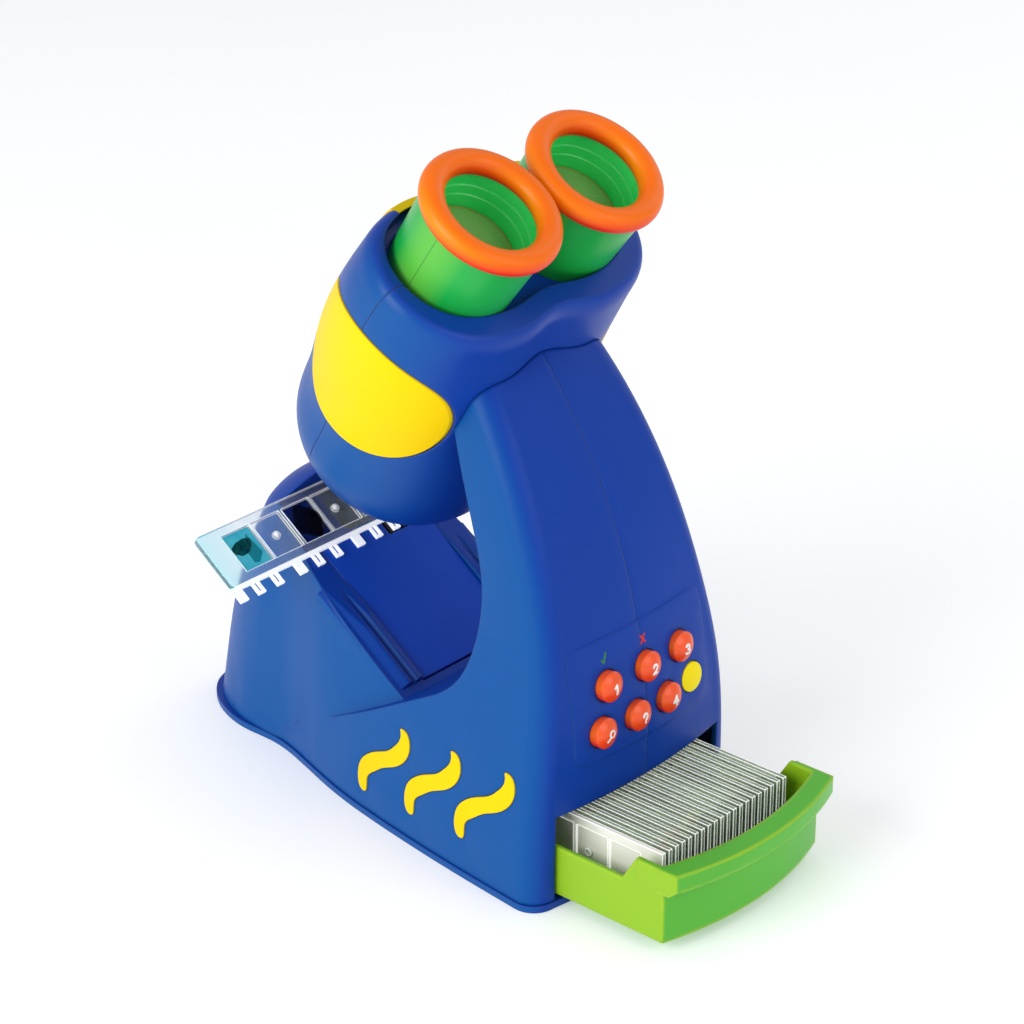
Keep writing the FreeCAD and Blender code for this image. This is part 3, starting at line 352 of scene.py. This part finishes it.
# painted light: the stage plate takes the body's blue half as bright again
stage_blue_painted_light = moulded("stage_blue_painted_light", shade(BLUE, 1.5), (0.40, 0.50), 0.05, 0.0010, 0.30, gloss=0.10)
base_blue = moulded("base_blue", BLUE, (0.36, 0.46), 0.05, 0.0008, 0.30, side=BLUE_SIDE_PAINTED_LIGHT)
yellow = moulded("panel_yellow", YELLOW, (0.36, 0.46), 0.04, 0.0006, 0.1, gloss=0.06)
orange = moulded("ring_orange", ORANGE, (0.28, 0.38), 0.03, 0.0006, 0.1, subsurface=0.08,
                 gloss=0.22, side=ORANGE_SIDE_PAINTED_LIGHT, under=RED_UNDER_PAINTED_SHADE)
key_orange = moulded("key_orange", KEY_ORANGE, (0.24, 0.34), 0.03, 0.0006, 0.1, subsurface=0.10,
                     gloss=0.45, side=KEY_ORANGE_SIDE_PAINTED_LIGHT, under=RED_UNDER_PAINTED_SHADE)
# painted light: the power key takes a brighter yellow than the panels
key_yellow_painted_light = moulded("key_yellow_painted_light", KEY_YELLOW_PAINTED_LIGHT, (0.30, 0.40), 0.03, 0.0006, 0.1, gloss=0.12)
green = moulded("tube_green", GREEN, (0.26, 0.36), 0.03, 0.0006, 0.3, subsurface=0.06, gloss=0.35,
                side=GREEN_SIDE_PAINTED_LIGHT, side_light_start=0.85)
lime = moulded("drawer_lime", LIME, (0.30, 0.40), 0.03, 0.0030, 2.4, subsurface=0.10, gloss=0.30,
               side=LIME_SIDE_PAINTED_LIGHT, rim=LIME_RIM_PAINTED_HIGHLIGHT)
dark_plastic = moulded("dark_plastic", (0.02, 0.022, 0.03), (0.35, 0.5), 0.05, 0.0005, 0.2)
# the slides' glowing edges are painted light, and so is the first stored slide's whitened face
clear_slide = clear("slide_clear", (0.72, 0.86, 0.62), (1.0, 1.0, 0.97), 0.0008, 3.0, 0.68,
                    painted_glow=0.55, painted_face_light_x=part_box("stored_slides")[0].x, streaky=0.55)
stage_clear = clear("stage_slide_clear", (0.90, 0.97, 1.0), (0.96, 0.98, 1.0), 0.0009, 1.6, 0.90,
                    end_tint=((0.66, 0.93, 0.98), (0.16, 0.74, 0.88)), comb=True,
                    painted_glow=0.30)
lens = clear("lens_clear", (0.22, 0.42, 0.10), (0.75, 0.30, 0.04), 0.0016, 0.9, 0.22, 0.25)
field_lens = clear("field_lens", (0.22, 0.50, 0.13), (0.85, 0.27, 0.03), 0.0022, 1.6, 0.06, 0.22)
glass = clear("window_clear", (0.95, 0.97, 1.0), (0.9, 0.95, 1.0), 0.0004, 0.4, 0.95, 0.03)
steel = metal("screw_steel", (0.62, 0.62, 0.64))
nickel = metal("contact_nickel", (0.75, 0.73, 0.68), 0.25)
grip = rubber("pad_rubber", (0.03, 0.03, 0.034))
mask_green = board("board_green", (0.01, 0.10, 0.03))
membrane = rubber("keypad_membrane", (0.5, 0.5, 0.5))
cell_skin = moulded("cell_skin", (0.30, 0.31, 0.33), (0.25, 0.35), 0.02, 0.0004, 0.1)
white_ink = printed("ink_white", WHITE)
green_ink = printed("ink_green", (0.004, 0.19, 0.045))
red_ink = printed("ink_red", (0.62, 0.008, 0.010))

FINISH = {
    blue: ["body_left_shell", "body_right_shell"],
    stage_blue_painted_light: ["stage_plate"],
    head_blue: ["head_front_shell", "head_rear_shell"],
    base_blue: ["base_plate", "battery_door"],
    yellow: ["head_left_panel", "head_right_panel", "head_rear_panel", "wave_inlays_left",
             "wave_inlays_right"],
    key_yellow_painted_light: ["key_power"],
    orange: ["left_eye_ring", "right_eye_ring"],
    key_orange: ["key_1", "key_2", "key_3", "key_4", "key_magnifier", "key_question"],
    green: ["left_tube_front", "left_tube_rear", "right_tube_front", "right_tube_rear"],
    lime: ["drawer"],
    dark_plastic: ["battery_box", "drawer_rails", "code_reader", "speaker", "board_chips",
                   "objective_holder", "lens_retainers"],
    stage_clear: ["stage_slide"],
    lens: ["left_eye_lens", "right_eye_lens", "objective_lens"],
    glass: ["stage_window", "lamp_led"],
    steel: ["base_screws", "door_screw", "shell_screws", "neck_screws", "head_screws"],
    nickel: ["battery_contacts"],
    grip: ["anti_slip_pads"],
    mask_green: ["main_board", "keypad_board", "lamp_board"],
    membrane: ["keypad_membrane"],
    cell_skin: ["battery_cells"],
    clear_slide: ["stored_slides"],
}
for material, names in FINISH.items():
    for name in names:
        mesh = nodes[name].data
        mesh.materials.clear()
        mesh.materials.append(material)


# ---- printed and inlaid details ------------------------------------------------------------------
def surface(*names):
    """Ray target made from CAD nodes, which sit at the origin with their place in their mesh."""
    shape = bmesh.new()
    for name in names:
        shape.from_mesh(nodes[name].data)
    tree = BVHTree.FromBMesh(shape)
    shape.free()
    return tree


def add_piece(name, shape, material, body, smooth=True):
    mesh = bpy.data.meshes.new(name)
    shape.to_mesh(mesh)
    shape.free()
    for face in mesh.polygons:
        face.use_smooth = smooth
    mesh.materials.append(material)
    piece = bpy.data.objects.new(name, mesh)
    bpy.context.scene.collection.objects.link(piece)
    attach(piece, body)
    return piece


def arc(x, y, radius, start, end, steps=14):
    """Points along an arc, angles in degrees."""
    turns = [math.radians(start + (end - start) * k / steps) for k in range(steps + 1)]
    return [(x + radius * math.cos(t), y + radius * math.sin(t)) for t in turns]


def resample(path, step):
    """The same line with points close enough together to follow a curved face."""
    points = [Vector(path[0])]
    for end in path[1:]:
        start, end = points[-1], Vector(end)
        count = max(1, math.ceil((end - start).length / step))
        points += [start.lerp(end, k / count) for k in range(1, count + 1)]
    return points


def ink_stroke(shape, path, half, height, target, centre):
    """Rounded raised stroke laid on the key face: a swept lens profile with round ends, its path,
    half width and height in millimetres.  A ray that slips into a seam takes the usual depth."""
    path = resample(path, 0.25)
    profile = [(-1.0, 0.0), (-0.86, 0.7), (-0.45, 1.0), (0.0, 1.05), (0.45, 1.0), (0.86, 0.7),
               (1.0, 0.0)]
    stations = []
    first, last = path[0] - path[1], path[-1] - path[-2]
    for k in range(5, 0, -1):
        turn = k / 5 * math.pi / 2
        stations.append((path[0] + first.normalized() * half * math.sin(turn), math.cos(turn),
                         -first.normalized()))
    for k, point in enumerate(path):
        ahead, behind = path[min(k + 1, len(path) - 1)], path[max(k - 1, 0)]
        stations.append((point, 1.0, (ahead - behind).normalized()))
    for k in range(1, 6):
        turn = k / 5 * math.pi / 2
        stations.append((path[-1] + last.normalized() * half * math.sin(turn), math.cos(turn),
                         last.normalized()))
    rows, depths = [], []
    for point, wide, along in stations:
        side = Vector((-along.y, along.x))
        row = []
        for across, lift in profile:
            flat = point + side * across * half * max(wide, 0.02)
            place = centre + (ACROSS * flat.x + KEY_UP * flat.y) * MM
            hit = target.ray_cast(place + KEY_OUT * 0.01, -KEY_OUT)[0]
            depths.append((hit - place).dot(KEY_OUT) if hit is not None else -1.0)
            rise = (lift * height * max(wide, 0.1) - 0.03) * MM
            row.append((place, rise, depths[-1]))
        rows.append(row)
    usual = sorted(depths)[len(depths) // 2]
    rows = [[(place, rise + (depth if abs(depth - usual) < SEAM else usual))
             for place, rise, depth in row] for row in rows]
    rows = [[shape.verts.new(place + KEY_OUT * lift) for place, lift in row] for row in rows]
    for one, other in zip(rows, rows[1:]):
        for k in range(len(profile) - 1):
            shape.faces.new((one[k], other[k], other[k + 1], one[k + 1]))
    bmesh.ops.recalc_face_normals(shape, faces=shape.faces[:])


KEY_INK = 0.20                         # height of the ink on a key, mm
MARK_HALF, MARK_INK = 0.50, 0.30       # half width and height of the two marks' strokes, mm
MARK_RISE = 0.0055                     # the marks' middle above the top of the first key
# half width of the stroke and its paths, in millimetres from the key's middle
GLYPHS = {
    "key_1": (0.62, [[(-0.9, 1.0), (0.2, 2.0), (0.2, -2.0)]]),
    "key_2": (0.58, [arc(0, 0.85, 1.15, 165, -35) + [(-1.2, -2.0), (1.3, -2.0)]]),
    "key_3": (0.58, [arc(-0.1, 1.0, 1.0, 150, -85), arc(-0.1, -0.95, 1.15, 85, -150)]),
    "key_4": (0.58, [[(0.6, -2.1), (0.6, 2.0), (-1.4, -0.7), (1.5, -0.7)]]),
    "key_question": (0.58, [arc(0, 0.85, 1.15, 170, -60) + [(0.05, -0.75)],
                            [(0.05, -1.9), (0.06, -1.95)]]),
    "key_magnifier": (0.42, [arc(0.7, 0.6, 1.45, 225, 585, 26), [(-0.45, -0.55), (-2.0, -2.1)]]),
}


def key_prints():
    for name, (half, strokes) in GLYPHS.items():
        low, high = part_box(name)
        target = surface(name)
        centre = (low + high) / 2
        shape = bmesh.new()
        for path in strokes:
            ink_stroke(shape, path, half, KEY_INK, target, centre)
        add_piece(name + "_print", shape, white_ink, name)


def face_marks():
    """Green tick and red cross printed over the first two keys."""
    target = surface("body_left_shell", "body_right_shell")
    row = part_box("key_1")[1].z + MARK_RISE
    marks = {
        "tick_mark": ("key_1", green_ink, [[(-1.4, -0.4), (-0.5, -1.8), (1.3, 2.2)]]),
        "cross_mark": ("key_2", red_ink, [[(-1.2, 1.6), (1.2, -1.6)], [(1.2, 1.6), (-1.2, -1.6)]]),
    }
    for name, (key, ink, strokes) in marks.items():
        low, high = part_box(key)
        centre = Vector(((low.x + high.x) / 2, low.y, row))
        shape = bmesh.new()
        for path in strokes:
            ink_stroke(shape, path, MARK_HALF, MARK_INK, target, centre)
        add_piece(name, shape, ink, "body")


# ---- pictures in the slide on the stage ----------------------------------------------------------
def to_head(point):
    """(x, v, w) of a point in the head frame."""
    arm = Vector(point) - HEAD_ORIGIN
    return Vector((arm.x, arm.dot(HEAD_V), arm.dot(HEAD_W)))


def from_head(x, v, w):
    return HEAD_ORIGIN + ACROSS * x + HEAD_V * v + HEAD_W * w


def islands(name):
    """Head-frame box of each loose part of a CAD node, from its left to its right."""
    shape = bmesh.new()
    shape.from_mesh(nodes[name].data)
    bmesh.ops.remove_doubles(shape, verts=shape.verts[:], dist=1e-6)
    left, found = set(shape.verts), []
    while left:
        reached, front = set(), [left.pop()]
        while front:
            vert = front.pop()
            reached.add(vert)
            for edge in vert.link_edges:
                other = edge.other_vert(vert)
                if other in left:
                    left.discard(other)
                    front.append(other)
        places = [to_head(v.co) for v in reached]
        found.append((Vector(min(p[k] for p in places) for k in range(3)),
                      Vector(max(p[k] for p in places) for k in range(3))))
    shape.free()
    return sorted(found, key=lambda box: box[0].x)


def plate(outline, low_w, high_w):
    """Thin plate with a softened edge from an outline in head-frame x and v."""
    shape = bmesh.new()
    middle = sum((Vector(p) for p in outline), Vector((0, 0))) / len(outline)
    levels = [(low_w, 1.0), (high_w - (high_w - low_w) * 0.3, 1.0), (high_w, 0.965)]
    loops = []
    for w, size in levels:
        ring = [middle + (Vector(p) - middle) * size for p in outline]
        loops.append([shape.verts.new(from_head(p.x, p.y, w)) for p in ring])
    for one, other in zip(loops, loops[1:]):
        for k in range(len(outline)):
            n = (k + 1) % len(outline)
            shape.faces.new((one[k], one[n], other[n], other[k]))
    shape.faces.new(loops[0][::-1])
    shape.faces.new(loops[-1])
    bmesh.ops.recalc_face_normals(shape, faces=shape.faces[:])
    return shape


def film(name, tint, dark, scale, clarity):
    """Tinted transparency: a dye that thickens in clouds."""
    g = Graph(name)
    cloud = g.span(g.noise(scale, 4.0, 0.6), 0.0, 1.0, 0.35, 0.65)
    g.join(g.blend(cloud, tint, dark), g.shader.inputs["Base Color"])
    g.join(g.span(cloud, clarity, clarity * 0.5, 0.0, 1.0), g.shader.inputs["Transmission Weight"])
    g.join(g.span(g.noise(400.0), 0.10, 0.18), g.shader.inputs["Roughness"])
    g.shader.inputs["IOR"].default_value = 1.45
    return g.material


def blob(x, v, rx, rv, lumps, phase=0.0, turn=0.0, count=48):
    """Lumpy oval outline about (x, v) in the head frame."""
    points = []
    for k in range(count):
        t = 2 * math.pi * k / count
        swell = 1.0 + 0.07 * math.sin(lumps * t + phase) + 0.03 * math.sin(2.7 * lumps * t)
        px, pv = rx * swell * math.cos(t), rv * swell * math.sin(t)
        points.append((x + px * math.cos(turn) - pv * math.sin(turn),
                       v + px * math.sin(turn) + pv * math.cos(turn)))
    return points


FILM_GAP = 0.00003                     # keeps a specimen clear of its film


def slide_films():
    """Three tinted films, each with its specimen, in place of the plain CAD films."""
    looks = [
        film("film_cyan", (0.12, 0.74, 0.84), (0.04, 0.50, 0.72), 90.0, 0.30),
        film("film_navy", (0.010, 0.030, 0.18), (0.004, 0.008, 0.06), 120.0, 0.25),
        film("film_dark_green", (0.02, 0.05, 0.03), (0.06, 0.14, 0.02), 120.0, 0.25),
    ]
    leaf = film("specimen_leaf", (0.004, 0.10, 0.075), (0.001, 0.025, 0.030), 700.0, 0.10)
    stalk = film("specimen_stalk", (0.01, 0.36, 0.42), (0.02, 0.24, 0.30), 400.0, 0.30)
    seed = film("specimen_seed", (0.001, 0.001, 0.004), (0.004, 0.004, 0.010), 300.0, 0.0)
    moss = film("specimen_moss", (0.13, 0.24, 0.03), (0.05, 0.11, 0.02), 500.0, 0.2)
    for k, (low, high) in enumerate(islands("slide_pictures")):
        x, v = (low.x + high.x) / 2, (low.y + high.y) / 2
        half_x, half_v = (high.x - low.x) / 2, (high.y - low.y) / 2
        corner = 0.0009
        outline = []
        for cx, cv, start in ((1, 1, 0), (-1, 1, 90), (-1, -1, 180), (1, -1, 270)):
            outline += arc(x + cx * (half_x - corner), v + cv * (half_v - corner), corner,
                           start, start + 90, 6)
        sheet = add_piece("picture_film_%d" % (k + 1), plate(outline, low.z, high.z), looks[k],
                          "stage_slide", False)
        if k == 0:
            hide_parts("slide_pictures")
        top = high.z + FILM_GAP
        if k == 0:
            fan = [(x - 0.0008, v + 0.001), (x + 0.0045, v + 0.0065), (x + 0.0060, v - 0.0040),
                   (x + 0.0016, v - 0.0078), (x - 0.0010, v - 0.0070)]
            cap = blob(x - 0.0014, v + 0.0016, 0.0058, 0.0034, 3, 0.6, 0.25)
            parts = [("stalk", fan, stalk, 0.00006), ("cap", cap, leaf, 0.00024)]
        elif k == 1:
            parts = [("seed", blob(x + 0.0008, v - 0.0002, 0.0071, 0.0083, 4, 0.9), seed, 0.0002)]
        else:
            parts = [("moss", blob(x + 0.0030, v + 0.0010, 0.0040, 0.0068, 7, 0.4), moss, 0.0002)]
        for label, edge, look, thick in parts:
            add_piece("specimen_" + label, plate(edge, top, top + thick), look, "stage_slide",
                      False)


# ---- eyepiece liners, pips and ring on the slides ------------------------------------------------
def lathe(shape, profile, centre, axis, side, steps=72):
    """Surface of revolution: (radius, height) points turned about an axis."""
    other = axis.cross(side)
    rings = []
    for radius, height in profile:
        ring = []
        for k in range(steps):
            t = 2 * math.pi * k / steps
            arm = side * math.cos(t) + other * math.sin(t)
            ring.append(shape.verts.new(centre + axis * height + arm * radius))
        rings.append(ring)
    for one, two in zip(rings, rings[1:]):
        for k in range(steps):
            n = (k + 1) % steps
            shape.faces.new((one[k], one[n], two[n], two[k]))


# (radius, w) down the inside of an eyepiece, two ridges on its way to the lens, and (radius, w)
# round the field lens from its top to its underside
LINER_STEPS = [(0.02290, -0.0030), (0.02262, -0.0034), (0.02255, -0.0098), (0.02225, -0.0102),
               (0.02165, -0.0104), (0.02150, -0.0110), (0.02145, -0.0140), (0.02120, -0.0144),
               (0.02075, -0.0146), (0.02060, -0.0152)]
LINER_FOOT = 0.0022                    # w of the liner's foot above the eye lens
FIELD_LENS = [(0.0, -0.0188), (0.0060, -0.0189), (0.0120, -0.0193), (0.0180, -0.0201),
              (0.0200, -0.0205), (0.0203, -0.0209), (0.0200, -0.0213), (0.0, -0.0213)]


def liners():
    """Stepped sleeve and field lens inside each eyepiece."""
    g = Graph("liner_green_painted_glow")
    patch = g.span(g.noise(60.0, 3.0), 0.0, 1.0)
    g.join(g.blend(patch, (0.020, 0.52, 0.085), (0.040, 0.62, 0.110)),
           g.shader.inputs["Base Color"])
    g.join(g.span(g.noise(90.0), 0.22, 0.34), g.shader.inputs["Roughness"])
    g.join(g.bump(g.noise(1800.0), 0.00005, 0.15), g.shader.inputs["Normal"])
    # painted light: the sleeve gives off a little green light, though it is no lamp
    g.shader.inputs["Emission Color"].default_value = (0.01, 0.50, 0.09, 1.0)
    g.shader.inputs["Emission Strength"].default_value = 0.16
    for side in ("left", "right"):
        low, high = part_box(side + "_eye_lens")
        corners = [to_head(Vector((x, y, z))) for x in (low.x, high.x) for y in (low.y, high.y)
                   for z in (low.z, high.z)]
        lens_w = sum(p.z for p in corners) / len(corners)
        centre = from_head((low.x + high.x) / 2, 0.0, 0.0)
        floor_w = lens_w + LINER_FOOT
        profile = LINER_STEPS + [(0.02040, floor_w + 0.0010), (0.02015, floor_w),
                                 (0.02290, floor_w - 0.0002), (0.02292, -0.0100), LINER_STEPS[0]]
        shape = bmesh.new()
        lathe(shape, [(r + 1e-6, h) for r, h in FIELD_LENS], centre, HEAD_W, ACROSS)
        bmesh.ops.remove_doubles(shape, verts=shape.verts[:], dist=1e-5)
        bmesh.ops.recalc_face_normals(shape, faces=shape.faces[:])
        add_piece(side + "_field_lens", shape, field_lens, "body")
        shape = bmesh.new()
        lathe(shape, profile, centre, HEAD_W, ACROSS)
        bmesh.ops.remove_doubles(shape, verts=shape.verts[:], dist=1e-6)
        bmesh.ops.recalc_face_normals(shape, faces=shape.faces[:])
        piece = add_piece(side + "_eyepiece_liner", shape, g.material, "body")
        piece.data.set_sharp_from_angle(angle=math.radians(50))


PIP_STEP = (9.6, 9.6, 6.8)             # from each picture's right edge to its pip, mm
PIP_RADIUS, PIP_HEIGHT = 1.45 * MM, 1.25 * MM


def beads():
    """Bright moulding pips in the clear blanks of the slide on the stage, each a little right of
    its picture."""
    pearl = printed("pip_white", (0.86, 0.88, 0.90), 0.9)
    films = islands("slide_pictures")
    for k, (low, high) in enumerate(films):
        x = high.x + PIP_STEP[k] * MM
        v = (low.y + high.y) / 2
        shape = bmesh.new()
        base = from_head(x, v, low.z + 1.30 * MM)
        profile = [(0.0, 1.0), (0.35, 0.94), (0.68, 0.73), (0.9, 0.42), (1.0, 0.0)]
        lathe(shape, [(PIP_RADIUS * r + 1e-6, PIP_HEIGHT * h) for r, h in profile], base, HEAD_W,
              ACROSS, 24)
        bmesh.ops.recalc_face_normals(shape, faces=shape.faces[:])
        add_piece("slide_pip_%d" % (k + 1), shape, pearl, "stage_slide")


# ring's middle behind the front edge of the slides and below their top
RING_BACK, RING_DROP = 38.8 * MM, 14.7 * MM


def ejector_ring():
    """Moulded ring on the outer face of the first stored slide."""
    low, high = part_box("stored_slides")
    centre = Vector((low.x, low.y + RING_BACK, high.z - RING_DROP))
    ring, wire = 1.55 * MM, 0.32 * MM
    profile = [(ring + wire * math.cos(t), wire * math.sin(t) + 0.10 * MM)
               for t in (2 * math.pi * k / 12 for k in range(13))]
    shape = bmesh.new()
    lathe(shape, profile, centre, -ACROSS, Vector((0.0, 1.0, 0.0)), 40)
    bmesh.ops.remove_doubles(shape, verts=shape.verts[:], dist=1e-6)
    bmesh.ops.recalc_face_normals(shape, faces=shape.faces[:])
    add_piece("ejector_ring", shape, printed("ring_white", (0.90, 0.92, 0.92), 0.92), "drawer")


SHELL_EDGE = 0.0009                    # width of the rounding on the tower and base


def soften(name, width):
    """Real rounded edges on a carried-over node."""
    node = nodes[name]
    weld = node.modifiers.new("weld", "WELD")
    weld.merge_threshold = 1e-5
    bevel = node.modifiers.new("soft_edges", "BEVEL")
    bevel.width = width
    bevel.segments = 3
    bevel.limit_method = "ANGLE"
    bevel.angle_limit = math.radians(32.0)
    bevel.harden_normals = False


# ---- floor, light, camera ------------------------------------------------------------------------
def floor():
    """Plain pale floor, just under the object."""
    mesh = bpy.data.meshes.new("floor")
    shape = bmesh.new()
    bmesh.ops.create_grid(shape, x_segments=24, y_segments=24, size=9.0)
    shape.to_mesh(mesh)
    shape.free()
    sheet = bpy.data.objects.new("floor", mesh)
    bpy.context.scene.collection.objects.link(sheet)
    sheet.location = (0, 0, cad_box[0].z - 0.0001)
    g = Graph("floor_pale")
    g.join(g.blend(g.span(g.noise(3.0), 0, 1), (0.93, 0.935, 0.94), (0.95, 0.95, 0.95)),
           g.shader.inputs["Base Color"])
    g.shader.inputs["Roughness"].default_value = 0.9
    g.shader.inputs["Emission Color"].default_value = (1.0, 1.0, 1.0, 1.0)
    g.shader.inputs["Emission Strength"].default_value = 0.20
    mesh.materials.append(g.material)


def softbox(name, location, target, size, power):
    """Rectangular area light turned to its target."""
    data = bpy.data.lights.new(name, "AREA")
    data.shape = "RECTANGLE"
    data.size, data.size_y = size
    data.energy = power
    lamp = bpy.data.objects.new(name, data)
    bpy.context.scene.collection.objects.link(lamp)
    lamp.location = location
    aim = Vector(target) - Vector(location)
    lamp.rotation_euler = aim.to_track_quat("-Z", "Y").to_euler()


def studio():
    """Soft light from the left, a front fill, a weak light on the right and a pale surround."""
    middle = (0.0, -0.02, 0.14)
    softbox("key_light", (-1.9, 0.15, 1.0), middle, (1.4, 1.2), 28.0)
    softbox("fill_light", (0.2, -2.2, 1.2), middle, (1.6, 1.2), 13.0)
    softbox("right_light", (1.7, -0.4, 1.2), middle, (1.0, 1.4), 4.0)
    world = bpy.data.worlds.new("studio")
    bpy.context.scene.world = world
    world.use_nodes = True
    world.node_tree.nodes["Background"].inputs["Color"].default_value = (0.95, 0.97, 1.0, 1.0)
    world.node_tree.nodes["Background"].inputs["Strength"].default_value = 0.62
    bpy.context.scene.view_settings.view_transform = "Standard"


def camera():
    """Three-quarter view from the front left, looking down on the object."""
    data = bpy.data.cameras.new("camera")
    data.lens = 110.25
    data.sensor_width = 36.0
    data.shift_x = -0.0183
    data.shift_y = -0.0034
    data.clip_end = 50.0
    eye = bpy.data.objects.new("camera", data)
    bpy.context.scene.collection.objects.link(eye)
    eye.location = (-0.8801, -0.8353, 0.7082)
    eye.rotation_euler = (math.radians(64.27), 0.0, math.radians(-48.74))
    bpy.context.scene.camera = eye


for half in ("left", "right"):
    soften("body_%s_shell" % half, SHELL_EDGE)
key_prints()
face_marks()
slide_films()
liners()
beads()
ejector_ring()
floor()
studio()
camera()
